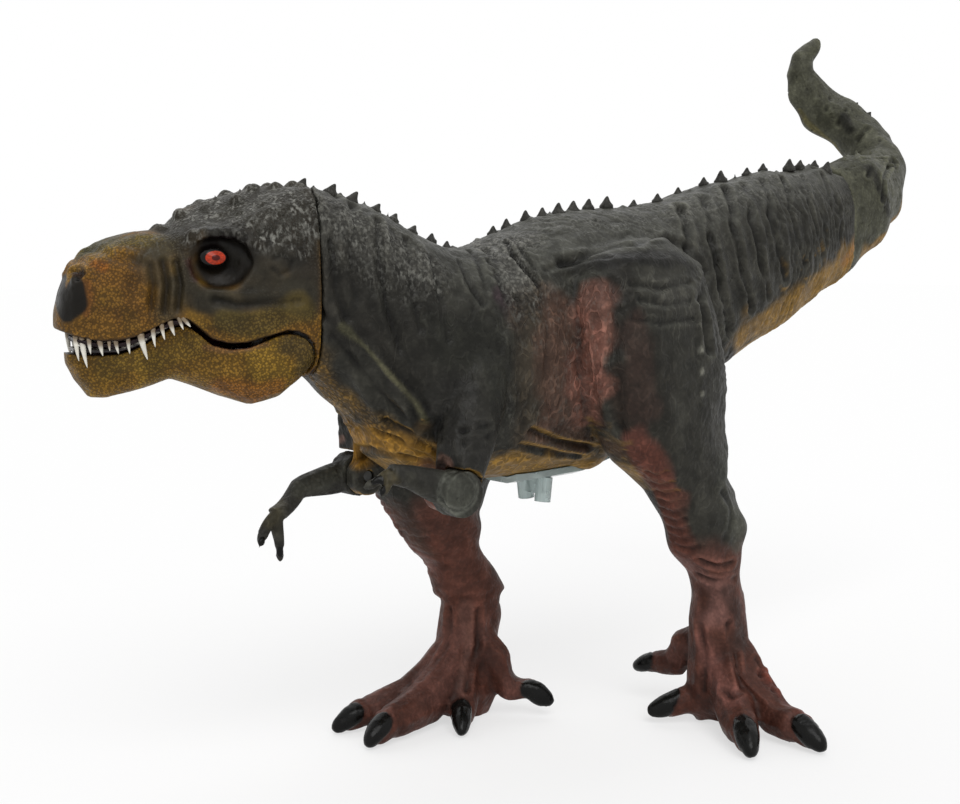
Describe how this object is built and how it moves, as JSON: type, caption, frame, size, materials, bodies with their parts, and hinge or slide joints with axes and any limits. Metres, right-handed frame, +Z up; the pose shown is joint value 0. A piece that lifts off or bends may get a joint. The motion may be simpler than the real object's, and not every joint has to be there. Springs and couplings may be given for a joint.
{
  "type": "toy dinosaur figure",
  "caption": "Two-legged meat-eating dinosaur toy with a hinged jaw, a head that turns at the neck and arms that bend at the elbow.",
  "frame": {"origin": "on the floor, under the middle of the figure's outline", "axes": "-X is where the body faces, -Y is the animal's left, +Z is up"},
  "size_m": [0.3156, 0.1154, 0.2046],
  "materials": {
    "body_skin": "satin vinyl, painted",
    "head_skin": "satin vinyl, painted",
    "foot_skin": "satin vinyl, painted",
    "tooth_white": "gloss",
    "mouth_flesh": "satin",
    "eye_gloss": "gloss",
    "pin_plastic": "satin",
    "clear_plastic": "clear gloss"
  },
  "bodies": {
    "body": {"trunk_and_neck": "body_skin", "tail_end": "body_skin", "left_leg": "body_skin", "right_leg": "body_skin", "left_foot": "foot_skin", "right_foot": "foot_skin", "belly_support": "clear_plastic"},
    "head": {"skull": "head_skin", "upper_teeth": "tooth_white", "left_eye": "eye_gloss", "right_eye": "eye_gloss", "neck_plug": "pin_plastic", "jaw_pin": "pin_plastic"},
    "jaw": {"lower_jaw": "head_skin", "lower_teeth": "tooth_white", "tongue": "mouth_flesh"},
    "left_arm": {"left_forearm": "body_skin", "left_elbow_pin": "pin_plastic"},
    "right_arm": {"right_forearm": "body_skin", "right_elbow_pin": "pin_plastic"}
  },
  "joints": [
    {"name": "head_swivel", "type": "hinge", "parent": "body", "child": "head", "pos_m": [-0.10206, 0.01407, 0.122], "axis": [-0.9511, 0.309, 0], "range_deg": [-20, 20]},
    {"name": "jaw_hinge", "type": "hinge", "parent": "head", "child": "jaw", "pos_m": [-0.10936, 0.01644, 0.105], "axis": [-0.309, -0.9511, 0], "range_deg": [0, 25]},
    {"name": "left_elbow", "type": "hinge", "parent": "body", "child": "left_arm", "pos_m": [-0.08056, -0.01536, 0.0734], "axis": [0, -1, 0], "range_deg": [-9, 50]},
    {"name": "right_elbow", "type": "hinge", "parent": "body", "child": "right_arm", "pos_m": [-0.07906, 0.02374, 0.0728], "axis": [0, -1, 0], "range_deg": [-26, 28]}
  ]
}
